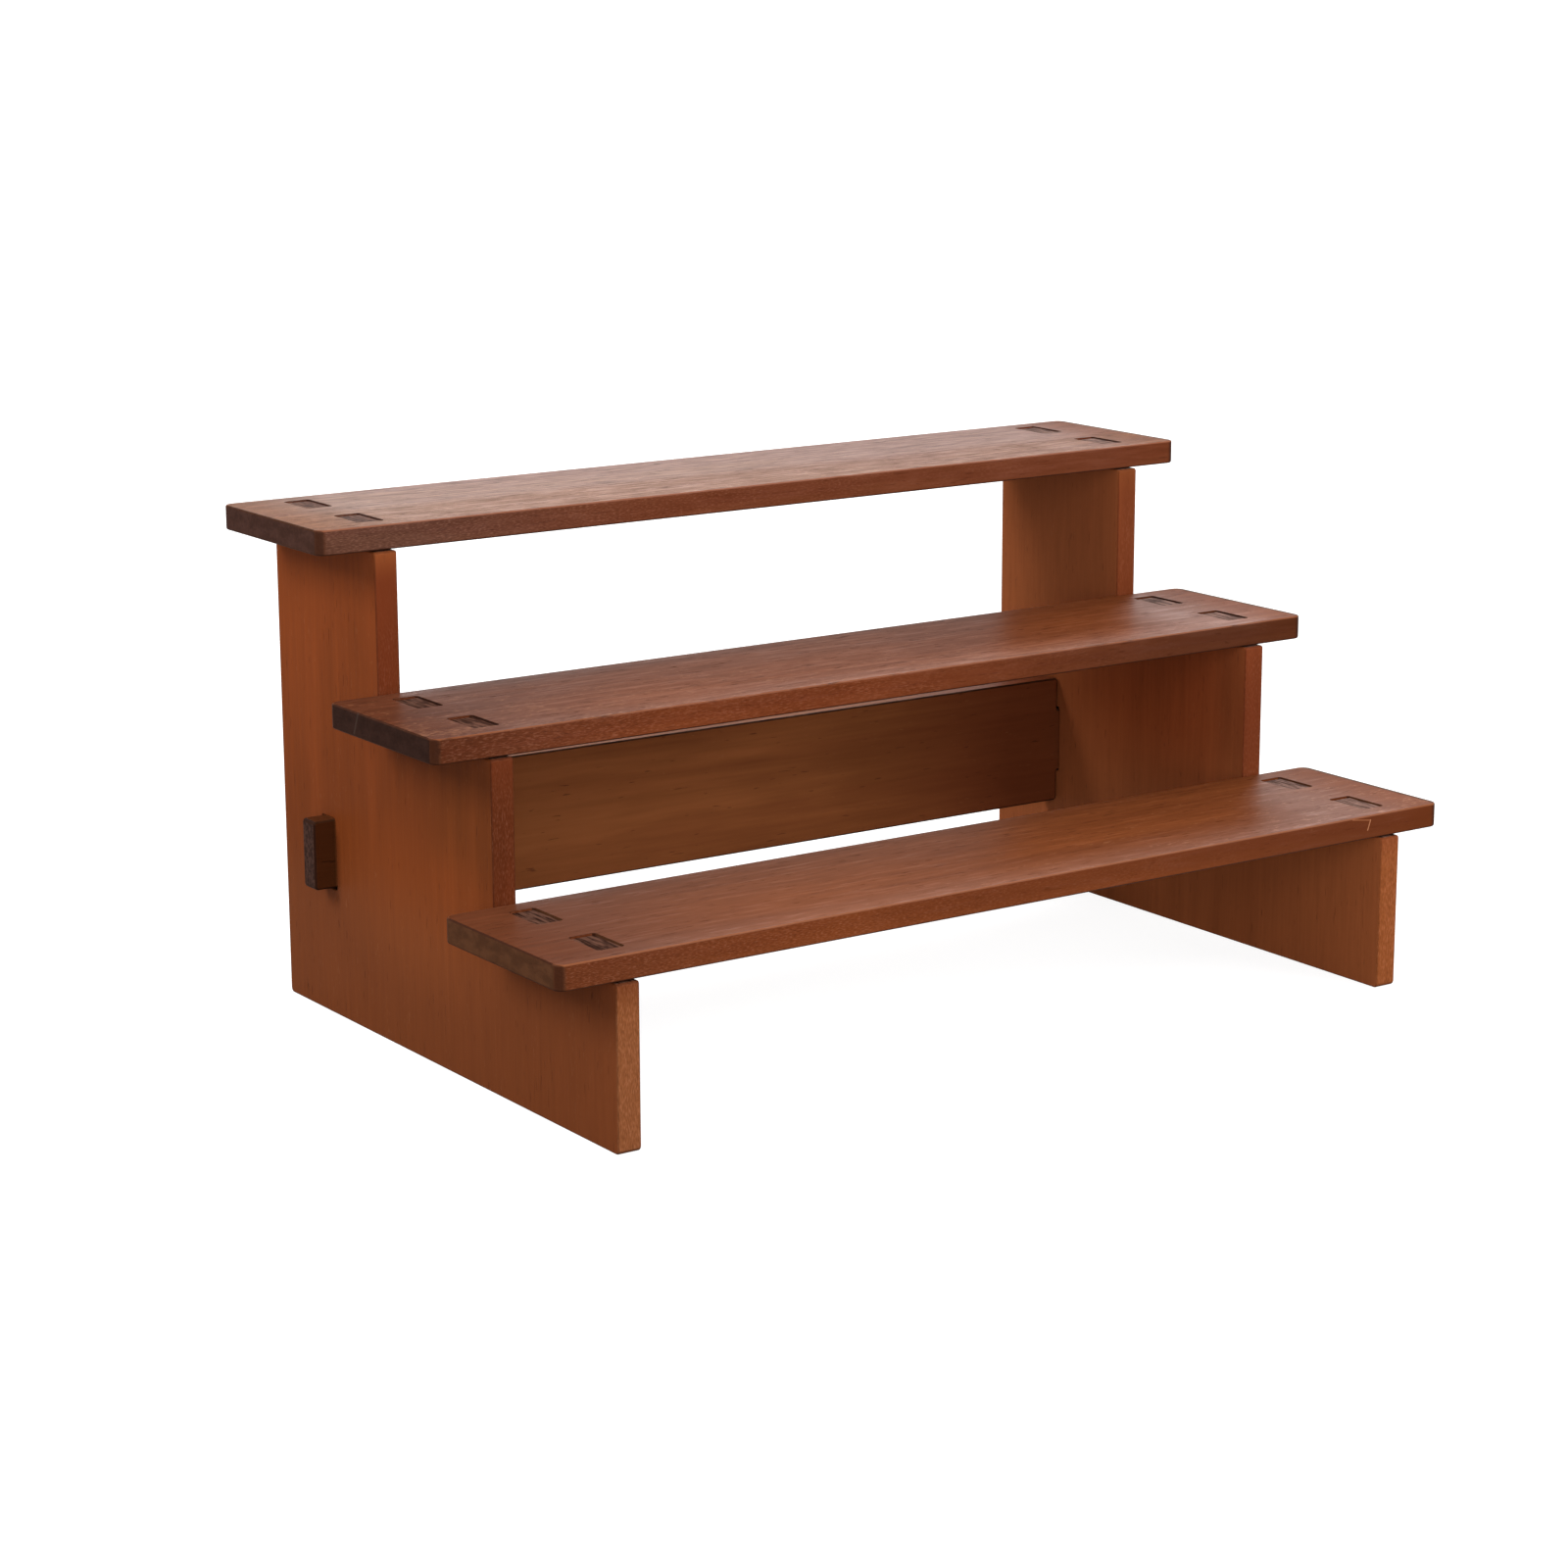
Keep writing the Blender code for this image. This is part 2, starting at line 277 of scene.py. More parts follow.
stain_group, given, result = new_group(
    "stained wood",
    {**FIGURE_INPUTS, "Fibre Way": (1.0, 0.0, 0.0), "Edge Way": (0.0, 1.0, 0.0),
     "Pale": (0.23, 0.056, 0.018, 1.0), "Deep": (0.165, 0.038, 0.012, 1.0), "Tone Lean": ZERO,
     "Band Strength": 0.6, "Shade From": -2000.0, "Shade To": -3000.0, "Shade Tone": PLAIN_TONE,
     "Patch Place": ZERO, "Patch Size": (1.0, 1.0, 1.0), "Patch Tone": PLAIN_TONE,
     "Front Patch Place": ZERO, "Front Patch Size": (1.0, 1.0, 1.0), "Front Patch Tone": PLAIN_TONE,
     "Ring Tone": (0.11, 0.023, 0.008, 1.0), "Ring Strength": 0.15, "Streak Strength": 0.5,
     "Pore Tone": (0.02, 0.006, 0.004, 1.0), "Pore Strength": 0.6,
     "Fleck Tone": (0.34, 0.14, 0.065, 1.0), "Fleck Strength": 0.4,
     "Edge Tone": PLAIN_TONE, "Edge Far Tone": PLAIN_TONE, "Edge Middle": 0.0,
     "Edge Far From": 60.0, "Edge Far To": 135.0, "Far Corner": 1000.0,
     "Grain Tone": (0.28, 0.16, 0.115, 1.0), "Grain Strength": 0.3, "Grain Lean": ZERO,
     "Tenon Start": 1000.0, "Painted Tenon Shade": (0.40, 0.38, 0.40, 1.0),
     "End Tone": (0.030, 0.013, 0.008, 1.0), "End Strength": 0.9,
     "Sawn Size": (30.0, 6.0, 3.0), "Sawn Strength": 0.3,
     "Arris Tone": (0.03, 0.010, 0.005, 1.0), "Arris Strength": 0.85,
     "Worn Tone": (0.19, 0.060, 0.024, 1.0), "Worn From": -1.0, "Worn Cover": 0.0,
     "Dullness": 0.42, "Varnish Cover": 0.5, "Varnish Rise": 0.0, "Varnish Break": 1.8,
     "Soak From": 1000.0, "Soak To": 2000.0},
    {"Colour": "Color", "Roughness": "Float", "Varnish": "Float", "Height": "Float"})
stain_math = partial(work_out, stain_group)
stain_fade = partial(fade, stain_group)


def lean_towards(label):
    """How far a point lies along one of the given leans."""
    return work_out_way(stain_group, "DOT_PRODUCT", given["Place"], given[label])


def looking_along(label, start, end):
    """Mask of the faces that look along one of the given ways."""
    return add_node(stain_group, "ShaderNodeGroup", {"Way": given[label], "From": start, "To": end},
                    node_tree=facing_group).outputs["Mask"]


def tinted(under, tone):
    """The board's colour times a tone."""
    return paint_over(stain_group, 1.0, under, tone, "MULTIPLY")


def wash(mask, under, tone):
    """The board's colour deepened or lifted by a tone where a mask says."""
    return paint_over(stain_group, mask, under, tinted(under, tone))


def lay_tone(mask, strength, under, over):
    """Another tone laid over the board's colour where a mask says, at a given strength, for stain and for
    painted shade and glints.
    """
    return paint_over(stain_group, stain_math("MULTIPLY", mask, strength), under, over)


figure = add_node(stain_group, "ShaderNodeGroup", {label: given[label] for label in FIGURE_INPUTS},
                  node_tree=figure_group).outputs
arris_shade_and_wear = add_node(stain_group, "ShaderNodeGroup", {label: given[label] for label in ("Place", "Worn Cover")},
                node_tree=arris_shade_and_wear_group).outputs
ends = looking_along("Fibre Way", 0.93, 0.99)
corners = looking_along("Fibre Way", 0.25, 0.60)
edges = looking_along("Edge Way", 0.10, 0.45)
faces = stain_math("SUBTRACT", 1.0, stain_math("MAXIMUM", edges, ends))
along, width = add_node(stain_group, "ShaderNodeSeparateXYZ", {0: given["Place"]}).outputs[:2]
away = stain_math("ABSOLUTE", along)

# Ground colour, from bands and clouds with a lean, washed towards one end and in two patches, mostly painted
# light and shade.
tone = stain_math("MULTIPLY_ADD", figure["Clouds"], 0.4, 0.3)
bands = stain_math("SUBTRACT", figure["Bands"], 0.5)
tone = stain_math("MULTIPLY_ADD", bands, given["Band Strength"], tone)
# On the panels and the rail the lean paints light and shade: the left panel paler at the top, the right panel
# paler at the front, the rail darker at its right end.
tone = stain_math("ADD", tone, lean_towards("Tone Lean"))
colour = paint_over(stain_group, stain_fade(tone, 0.32, 0.68), given["Deep"], given["Pale"])
# The end wash paints floor light and sheen at the left panel's foot and shade at the rail's left end, and
# darkens and greys the shelves' left ends.
shaded = stain_math("SUBTRACT", 1.0, stain_math("MULTIPLY", edges, 0.3))
shaded = stain_math("MULTIPLY", stain_fade(along, given["Shade From"], given["Shade To"]), shaded)
colour = wash(shaded, colour, given["Shade Tone"])
# The patches paint shade under the middle shelf on both panels and the right panel's shadow on the rail's
# right end; the left panel's other patch is paler.
for label in ("Patch", "Front Patch"):
    reach = work_out_way(stain_group, "SUBTRACT", given["Place"], given[label + " Place"])
    reach = work_out_way(stain_group, "DIVIDE", reach, given[label + " Size"])
    reach = work_out_way(stain_group, "LENGTH", reach)
    colour = wash(stain_fade(reach, 1.0, 0.2), colour, given[label + " Tone"])

# Rings, streaks, pores and flecks, which show less on the sawn edges; the pale flecks are painted glints.
colour = lay_tone(figure["Rings"], given["Ring Strength"], colour, given["Ring Tone"])
streak = stain_math("SUBTRACT", figure["Streaks"], 0.5)
calm = stain_math("MULTIPLY", given["Streak Strength"], stain_fade(edges, 0.0, 1.0, 1.0, 0.3))
colour = tinted(colour, stain_math("MULTIPLY_ADD", streak, calm, 1.0))
pores = stain_math("MULTIPLY", figure["Pores"], stain_fade(edges, 0.0, 1.0, 1.0, 0.25))
colour = lay_tone(pores, given["Pore Strength"], colour, given["Pore Tone"])
flecks = stain_math("MULTIPLY", figure["Flecks"], faces)
colour = lay_tone(flecks, given["Fleck Strength"], colour, given["Fleck Tone"])

# Sawn edges, with their own tone at the middle, far out and round the corners, and a fine speckle.
# The far tone paints floor light and sheen on the panels' low front edges and a grey sheen on the left of the
# top shelf's front.
far = stain_math("ABSOLUTE", stain_math("SUBTRACT", along, given["Edge Middle"]))
far = stain_fade(far, given["Edge Far From"], given["Edge Far To"])
colour = wash(edges, colour, paint_over(stain_group, far, given["Edge Tone"], given["Edge Far Tone"]))
colour = wash(stain_math("MULTIPLY", corners, edges), colour, ROUND_CORNER_TONE)
# Painted shade line down the far right end of a shelf.
far_corner = stain_math("SUBTRACT", stain_math("ADD", edges, along), given["Far Corner"])
colour = wash(stain_fade(far_corner, 0.0, FAR_CORNER_FADE), colour, FAR_CORNER_SHADE_TONE)
coarse = stain_math("ADD", lean_towards("Grain Lean"), 1.0)
coarse = stain_math("MULTIPLY_ADD", figure["Crowding"], 2.0, coarse)
coarse = stain_math("MULTIPLY", stain_fade(coarse, 0.0, 2.0, 0.0, 2.0), given["Grain Strength"])
coarse = stain_math("MULTIPLY", coarse, edges)
grain = stain_math("MULTIPLY", stain_math("SUBTRACT", figure["Grain"], 0.5), 3.0)
colour = tinted(colour, stain_math("MULTIPLY_ADD", grain, coarse, 1.0))
# The pale speckle on the edges is painted glints.
speckle = stain_math("MULTIPLY", stain_fade(figure["Grain"], 0.52, 0.72), 0.35)
colour = lay_tone(speckle, coarse, colour, given["Grain Tone"])

# Tenons, sawn ends and arrises, with painted shade on the rail's tenons and along the arrises.
tenon = stain_fade(stain_math("SUBTRACT", away, given["Tenon Start"]), 0.0, 1.0)
colour = wash(tenon, colour, given["Painted Tenon Shade"])
# The sawn hatch is saw marks, and on the panels' tenon tops its pale strokes are painted glints.
sawn = fibre_noise(stain_group, given["Place"], size=given["Sawn Size"], shift=(1.0, 1.0, 1.0),
                   detail=3.0, roughness=0.6)
sawn = stain_fade(sawn, 0.38, 0.64, -0.7, 1.5)
sawn = stain_math("MULTIPLY_ADD", sawn, given["Sawn Strength"], 1.0)
colour = lay_tone(ends, given["End Strength"], colour, tinted(given["End Tone"], sawn))
# The arris tone is a painted shade line, deepest on the lower arrises; where an upper arris is rubbed it
# shows paler.
outer = stain_math("GREATER_THAN", stain_math("ABSOLUTE", width), given["Worn From"])
rubbed = stain_math("MULTIPLY", arris_shade_and_wear["Rubbed"], stain_fade(corners, 0.0, 1.0, 1.0, 0.2))
rubbed = stain_math("MULTIPLY", rubbed, outer)
arris = paint_over(stain_group, rubbed, given["Arris Tone"], given["Worn Tone"])
colour = lay_tone(arris_shade_and_wear["Mask"], given["Arris Strength"], colour, arris)

dull = stain_math("MULTIPLY_ADD", streak, 0.3, given["Dullness"])
dull = stain_math("MULTIPLY_ADD", figure["Pores"], 0.15, dull)
dull = stain_math("MULTIPLY_ADD", ends, 0.10, dull)

varnish = stain_math("MULTIPLY_ADD", streak, given["Varnish Break"], 0.9)
varnish = stain_math("MULTIPLY_ADD", stain_fade(streak, 0.04, 0.22), 0.8, varnish)
varnish = stain_math("MULTIPLY_ADD", stain_fade(width, -9.0, 2.0), given["Varnish Rise"], varnish)
varnish = stain_math("MULTIPLY_ADD", flecks, 0.35, varnish)
varnish = stain_math("MULTIPLY_ADD", figure["Pores"], -0.5, varnish)
varnish = stain_math("MULTIPLY", varnish, given["Varnish Cover"])
soaked = stain_fade(away, given["Soak From"], given["Soak To"], 1.0, 0.25)
varnish = stain_math("MULTIPLY", varnish, soaked)
varnish = stain_math("MULTIPLY", varnish, stain_fade(ends, 0.0, 1.0, 1.0, 0.4))
varnish = add_node(stain_group, "ShaderNodeClamp", {0: varnish}).outputs[0]

height = stain_math("MULTIPLY", figure["Streaks"], 0.8)
height = stain_math("MULTIPLY_ADD", figure["Pores"], -0.8, height)
height = stain_math("MULTIPLY_ADD", flecks, 0.25, height)
height = stain_math("MULTIPLY_ADD", figure["Clouds"], 1.5, height)

for label, output in (("Colour", colour), ("Roughness", dull), ("Varnish", varnish), ("Height", height)):
    stain_group.links.new(output, result[label])

MILLIMETRES = (1000.0, 1000.0, 1000.0)
RELIEF_DEPTH = 0.0002
VARNISH_ROUGHNESS = 0.36
VARNISH_IOR = 1.2


def stained_finish(name, turn, centre, bump, gloss, **values):
    """Stained, satin wood. turn brings the fibres along X, and the figure is read from the centre."""
    finish = bpy.data.materials.new(name)
    finish.use_nodes = True
    tree = finish.node_tree
    shader = tree.nodes["Principled BSDF"]
    spot = add_node(tree, "ShaderNodeTexCoord").outputs["Object"]
    spot = work_out_way(tree, "SUBTRACT", spot, centre)
    place = add_node(tree, "ShaderNodeMapping", {"Vector": spot, "Rotation": turn, "Scale": MILLIMETRES})
    wood = add_node(tree, "ShaderNodeGroup", {"Place": place.outputs[0]},
                    name="stain", node_tree=stain_group)
    for label, value in values.items():
        wood.inputs[label.replace("_", " ").title()].default_value = value
    relief = add_node(tree, "ShaderNodeBump",
                      {"Height": wood.outputs["Height"], "Strength": bump, "Distance": RELIEF_DEPTH})
    tree.links.new(wood.outputs["Colour"], shader.inputs["Base Color"])
    tree.links.new(wood.outputs["Roughness"], shader.inputs["Roughness"])
    tree.links.new(wood.outputs["Varnish"], shader.inputs["Coat Weight"])
    tree.links.new(relief.outputs["Normal"], shader.inputs["Normal"])
    shader.inputs["Coat Roughness"].default_value = VARNISH_ROUGHNESS
    shader.inputs["Coat IOR"].default_value = VARNISH_IOR
    shader.inputs["Specular IOR Level"].default_value = gloss
    return finish


def panel_outline():
    """Stepped outline in depth and height, from the front foot round by the back."""
    low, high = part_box("left_side_panel")
    corners = [(low.y, 0.0, PANEL_FOOT_CORNER, False), (high.y, 0.0, PANEL_FOOT_CORNER, False)]
    for step, shelf in ((2, "top_shelf"), (1, "middle_shelf"), (0, "bottom_shelf")):
        shoulder = FIRST_STEP + step * STEP_RISE
        front = low.y + step * STEP_PITCH
        back = high.y if step == 2 else front + STEP_PITCH
        corners.append((back, shoulder, PANEL_CORNER if step == 2 else PANEL_INNER_CORNER, False))
        shelf_low, shelf_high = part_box(shelf)
        middle = (shelf_low.y + shelf_high.y) / 2
        for centre in (middle + TENON_PITCH / 2, middle - TENON_PITCH / 2):
            near, far = centre - TENON_WIDTH / 2, centre + TENON_WIDTH / 2
            corners.append((far, shoulder, PANEL_INNER_CORNER, False))
            corners.append((far, shoulder + TENON_TOP, TENON_CORNER, True))
            corners.append((near, shoulder + TENON_TOP, TENON_CORNER, True))
            corners.append((near, shoulder, PANEL_INNER_CORNER, False))
        corners.append((front, shoulder, PANEL_CORNER, False))
    return sawn_outline(corners)


def rail_mortise():
    """Hole for the rail's tenon, run the other way round so that the wood stays on the left."""
    low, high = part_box("back_rail")
    front, back = low.y - RAIL_MORTISE_ROOM, high.y + RAIL_MORTISE_ROOM
    bottom, top = RAIL_TENON_LOW - RAIL_MORTISE_ROOM, RAIL_TENON_HIGH + RAIL_MORTISE_ROOM
    corners = [(front, bottom), (front, top), (back, top), (back, bottom)]
    return sawn_outline([(*corner, RAIL_MORTISE_CORNER, False) for corner in corners])


FRAME_STREAKS = (22.0, 1.2, 1.2)
FRAME_FLECKS = (2.6, 0.5, 0.5)
PANEL_STAINS = {
    "left_side_panel": dict(
        figure=(40.0, 12.0, 31.0), pale=(0.198, 0.0440, 0.0105, 1.0), deep=(0.140, 0.0325, 0.0080, 1.0),
        # The lean paints light from above, and the end wash at the foot paints floor light and sheen.
        tone_lean=(0.004, 0.0, 0.0), band_strength=0.5,
        shade_from=-35.0, shade_to=-62.0, shade_tone=(1.04, 1.20, 1.55, 1.0),
        patch_place=(-46.0, 8.0, 0.0), patch_size=(34.0, 64.0, 1000.0), patch_tone=(1.22, 1.20, 1.1, 1.0),
        # The front patch paints shade under the middle shelf.
        front_patch_place=(-16.0, -19.0, 0.0), front_patch_size=(30.0, 36.0, 1000.0),
        front_patch_tone=(0.79, 0.86, 0.84, 1.0),
        # The far edge tone paints floor light and sheen on the low front edge.
        edge_tone=(0.75, 0.71, 0.95, 1.0), edge_far_tone=(1.46, 1.85, 2.2, 1.0),
        end_tone=(0.034, 0.0160, 0.0108, 1.0), arris_strength=0.35),
    "right_side_panel": dict(
        # Its ground tones are a lit copy, painted paler for the shade that falls on its inner face.
        figure=(-310.0, 55.0, -140.0), pale=(0.338, 0.0955, 0.0315, 1.0), deep=(0.258, 0.0730, 0.0242, 1.0),
        # The lean paints light from the front.
        tone_lean=(0.0, -0.0025, 0.0), band_strength=0.4,
        # Both patches paint shade under the middle shelf.
        patch_place=(-18.0, 5.0, 0.0), patch_size=(42.0, 85.0, 1000.0), patch_tone=(0.90, 0.70, 0.62, 1.0),
        front_patch_place=(-20.0, -28.0, 0.0), front_patch_size=(32.0, 22.0, 1000.0),
        front_patch_tone=(0.84, 0.92, 0.98, 1.0),
        edge_tone=(0.565, 0.48, 0.49, 1.0), edge_far_tone=(0.705, 0.695, 0.615, 1.0),
        # The paler, greyer end tone is a painted sheen on its tenon tops.
        end_tone=(0.062, 0.037, 0.030, 1.0), arris_strength=0.12)}

for node, stain in PANEL_STAINS.items():
    low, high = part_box(node)
    middle = (low.x + high.x) / 2
    board = eased_board([panel_outline(), rail_mortise()], high.x - low.x, PANEL_EASE,
                        lambda point, height: (middle + height, point.x, point.y))
    wood = stained_finish(
        node + "_wood", turn=(0.0, math.pi / 2, 0.0), centre=(0.0, 0.0, 0.09), bump=0.25, gloss=0.012,
        fibre_way=(0.0, 0.0, 1.0), ring_strength=0.03, streak_size=FRAME_STREAKS, streak_strength=0.36,
        pore_cover=0.30, pore_strength=0.35, fleck_size=FRAME_FLECKS, fleck_cover=0.30, fleck_strength=0.12,
        edge_far_from=38.0, edge_far_to=55.0, grain_strength=0.20, grain_lean=(-0.012, 0.0, 0.0),
        # The strong sawn hatch gives the tenon tops painted glints.
        sawn_size=(30.0, 7.0, 0.8), sawn_strength=1.3, varnish_cover=0.02, **stain)
    panel = finished_piece(node.replace("_side", "") + "_board", board, wood)
    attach(panel, "frame")
    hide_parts(node)


# Back rail: a stained board on edge that holds the two panels apart, with the grain lengthwise.
# A tenon at each end goes through the panel's mortise and stands proud of its outer face.
# The top edge is planed by hand, a little higher at the left, and the rail sits a touch out of level.
RAIL_EASE = 0.0007
RAIL_CORNER = 0.0011
RAIL_CROWN_LEFT = 0.0010
RAIL_CROWN_RIGHT = 0.0006
RAIL_SHOULDER = 0.1264
RAIL_SLOPE = math.tan(math.radians(0.15))

low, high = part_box("back_rail")
rail_corners = [
    (-RAIL_SHOULDER, low.z, RAIL_CORNER),
    (RAIL_SHOULDER, low.z, RAIL_CORNER),
    (RAIL_SHOULDER, RAIL_TENON_LOW, PANEL_INNER_CORNER),
    (high.x, RAIL_TENON_LOW, RAIL_CORNER),
    (high.x, RAIL_TENON_HIGH, RAIL_CORNER),
    (RAIL_SHOULDER, RAIL_TENON_HIGH, PANEL_INNER_CORNER),
    (RAIL_SHOULDER, high.z + RAIL_CROWN_RIGHT, RAIL_CORNER),
    (-RAIL_SHOULDER, high.z + RAIL_CROWN_LEFT, RAIL_CORNER),
    (-RAIL_SHOULDER, RAIL_TENON_HIGH, PANEL_INNER_CORNER),
    (low.x, RAIL_TENON_HIGH, RAIL_CORNER),
    (low.x, RAIL_TENON_LOW, RAIL_CORNER),
    (-RAIL_SHOULDER, RAIL_TENON_LOW, PANEL_INNER_CORNER)]
rail_middle = (low.y + high.y) / 2
rail_outline = sawn_outline([(*corner, False) for corner in rail_corners])
board = eased_board([rail_outline], high.y - low.y, RAIL_EASE,
                    lambda point, height: (point.x, rail_middle - height, point.y - point.x * RAIL_SLOPE))
wood = stained_finish(
    "back_rail_wood", turn=(0.0, 0.0, 0.0), centre=(0.0, rail_middle, 0.0), bump=0.25, gloss=0.015,
    edge_way=(0.0, 0.0, 1.0), figure=(0.0, 20.0, 35.0),
    # Its ground tones are a lit copy, painted paler for the shade on its face, and the lean darkens the right
    # end as painted shade.
    pale=(0.268, 0.085, 0.0270, 1.0), deep=(0.173, 0.052, 0.0162, 1.0), tone_lean=(-0.0018, 0.0, 0.0),
    # The end wash paints shade on the left end.
    shade_from=-70.0, shade_to=-112.0, shade_tone=(0.60, 0.55, 0.50, 1.0),
    # The patch paints the right panel's shadow on the right end.
    patch_place=(126.0, 0.0, 47.0), patch_size=(80.0, 1000.0, 1000.0), patch_tone=(0.90, 0.76, 0.85, 1.0),
    ring_strength=0.15, streak_size=FRAME_STREAKS, streak_strength=0.3, pore_cover=0.27, pore_strength=0.5,
    # Beyond the shoulders the tenon tone is painted shade.
    fleck_size=FRAME_FLECKS, fleck_cover=0.28, fleck_strength=0.15, tenon_start=133.0,
    end_tone=(0.032, 0.0160, 0.0122, 1.0), sawn_size=(30.0, 1.2, 1.2), sawn_strength=0.5,
    # The dark arris and worn tones paint a shade line along the arrises.
    arris_tone=(0.020, 0.007, 0.004, 1.0), arris_strength=0.95, worn_tone=(0.05, 0.018, 0.008, 1.0),
    varnish_cover=0.06)
rail = finished_piece("back_rail_board", board, wood)
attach(rail, "frame")
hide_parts("back_rail")


# Shelves: three like boards with the grain lengthwise, stained and thinly varnished, with rounded corners
# and eased edges. Four mortises go through each one, and it drops over the panels' tenons and lies on
# their shoulders.
SHELF_CORNER = 0.0030
SHELF_CORNER_STEPS = 12
SHELF_EASE = 0.0011
SHELF_EASE_STEPS = 5
MORTISE_WIDTH, MORTISE_LENGTH = 0.0080, 0.0150
MORTISE_CORNER = 0.0010
MORTISE_CORNER_STEPS = 6
MORTISE_EASE = 0.0002
MERGE_WITHIN = 0.00001
RIM_ANGLE = 1.0

shelf_tree = bpy.data.node_groups.new("shelf board", "GeometryNodeTree")
shelf_math = partial(work_out, shelf_tree)
for label in ("Length", "Depth", "Thickness", "Corner", "Mortise Width", "Mortise Length", "Mortise Corner",
              "Mortise Spread", "Mortise Pitch", "Mortise Ease Share"):
    shelf_tree.interface.new_socket(label, in_out="INPUT", socket_type="NodeSocketFloat")
shelf_tree.interface.new_socket("Place", in_out="INPUT", socket_type="NodeSocketVector")
shelf_tree.interface.new_socket("Wood", in_out="INPUT", socket_type="NodeSocketMaterial")
shelf_tree.interface.new_socket("Board", in_out="OUTPUT", socket_type="NodeSocketGeometry")
given = add_node(shelf_tree, "NodeGroupInput").outputs


def shape(kind, sockets, **settings):
    """What a node of the shelf's tree makes."""
    return add_node(shelf_tree, kind, sockets, **settings).outputs[0]


def rounded_rectangle(width, height, radius, steps):
    """Curve of a rectangle with rounded corners, from the tree's inputs of those names."""
    sides = shape("GeometryNodeCurvePrimitiveQuadrilateral", {"Width": given[width], "Height": given[height]})
    return shape("GeometryNodeFilletCurve", {"Curve": sides, "Count": steps, "Radius": given[radius]},
                 mode="POLY")


def joined(*shapes):
    """Several shapes as one."""
    join = add_node(shelf_tree, "GeometryNodeJoinGeometry")
    for member in shapes:
        shelf_tree.links.new(member, join.inputs[0])
    return join.outputs[0]


outline = rounded_rectangle("Length", "Depth", "Corner", SHELF_CORNER_STEPS)
mortise = rounded_rectangle("Mortise Width", "Mortise Length", "Mortise Corner", MORTISE_CORNER_STEPS)
spots = shape("GeometryNodeMeshGrid", {"Size X": given["Mortise Spread"], "Size Y": given["Mortise Pitch"],
                                       "Vertices X": 2, "Vertices Y": 2})
mortises = shape("GeometryNodeInstanceOnPoints", {"Points": spots, "Instance": mortise})
mortises = shape("GeometryNodeRealizeInstances", {"Geometry": mortises})
underside = shape("GeometryNodeFillCurve", {"Curve": joined(outline, mortises)}, mode="NGONS")
raised = shape("GeometryNodeExtrudeMesh",
               {"Mesh": underside, "Offset": (0.0, 0.0, 1.0), "Offset Scale": given["Thickness"],
                "Individual": False}, mode="FACES")
turned = shape("GeometryNodeFlipFaces", {"Mesh": underside})
solid = shape("GeometryNodeMergeByDistance", {"Geometry": joined(raised, turned), "Distance": MERGE_WITHIN})

# Every rim edge is eased in full, apart from the mortises' rims, which are only broken.
spot = add_node(shelf_tree, "GeometryNodeInputPosition").outputs[0]
spot = work_out_way(shelf_tree, "ABSOLUTE", spot)
spot = add_node(shelf_tree, "ShaderNodeSeparateXYZ", {0: spot}).outputs
corner = shelf_math("MULTIPLY", given["Corner"], -1.0)
reach = shelf_math("MULTIPLY_ADD", given["Length"], 0.5, corner)
breadth = shelf_math("MULTIPLY_ADD", given["Depth"], 0.5, corner)
inside = shelf_math("LESS_THAN", spot[0], reach)
inside = shelf_math("MULTIPLY", inside, shelf_math("LESS_THAN", spot[1], breadth))
share = shelf_math("SUBTRACT", given["Mortise Ease Share"], 1.0)
share = shelf_math("MULTIPLY_ADD", inside, share, 1.0)
angle = add_node(shelf_tree, "GeometryNodeInputMeshEdgeAngle").outputs["Unsigned Angle"]
rim = shelf_math("GREATER_THAN", angle, RIM_ANGLE)
solid = shape("GeometryNodeStoreNamedAttribute",
              {"Geometry": solid, "Name": "bevel_weight_edge", "Value": shelf_math("MULTIPLY", rim, share)},
              data_type="FLOAT", domain="EDGE")
solid = shape("GeometryNodeSetPosition", {"Geometry": solid, "Offset": given["Place"]})
solid = shape("GeometryNodeRealizeInstances", {"Geometry": solid})
solid = shape("GeometryNodeSetMaterial", {"Geometry": solid, "Material": given["Wood"]})
add_node(shelf_tree, "NodeGroupOutput", {"Board": solid})

# A scratch or a torn-out splinter shows the bare wood along a short line.
scratch_group, given, result = new_group(
    "scratch", {"Place": ZERO, "From": ZERO, "To": (1.0, 0.0, 0.0), "Width": 0.2}, {"Mask": "Float"})
along = work_out_way(scratch_group, "SUBTRACT", given["To"], given["From"])
reach = work_out_way(scratch_group, "SUBTRACT", given["Place"], given["From"])
share = work_out(scratch_group, "DIVIDE", work_out_way(scratch_group, "DOT_PRODUCT", reach, along),
                 work_out_way(scratch_group, "DOT_PRODUCT", along, along))
share = add_node(scratch_group, "ShaderNodeClamp", {0: share}).outputs[0]
nearest = work_out_way(scratch_group, "MULTIPLY", along, share)
off = work_out_way(scratch_group, "DISTANCE", reach, nearest)
off = work_out(scratch_group, "DIVIDE", off, given["Width"])
scratch_group.links.new(fade(scratch_group, off, 1.0, 0.4), result["Mask"])


def scratch(finish, start, end, width, tone, strength):
    """Scratch on a finished board from start to end, in millimetres from its centre."""
    tree = finish.node_tree
    place = tree.nodes["stain"].inputs["Place"].links[0].from_socket
    colour = tree.nodes["Principled BSDF"].inputs["Base Color"]
    mark = add_node(tree, "ShaderNodeGroup", {"Place": place, "From": start, "To": end, "Width": width},
                    node_tree=scratch_group)
    mask = work_out(tree, "MULTIPLY", mark.outputs["Mask"], strength)
    tree.links.new(paint_over(tree, mask, colour.links[0].from_socket, tone), colour)


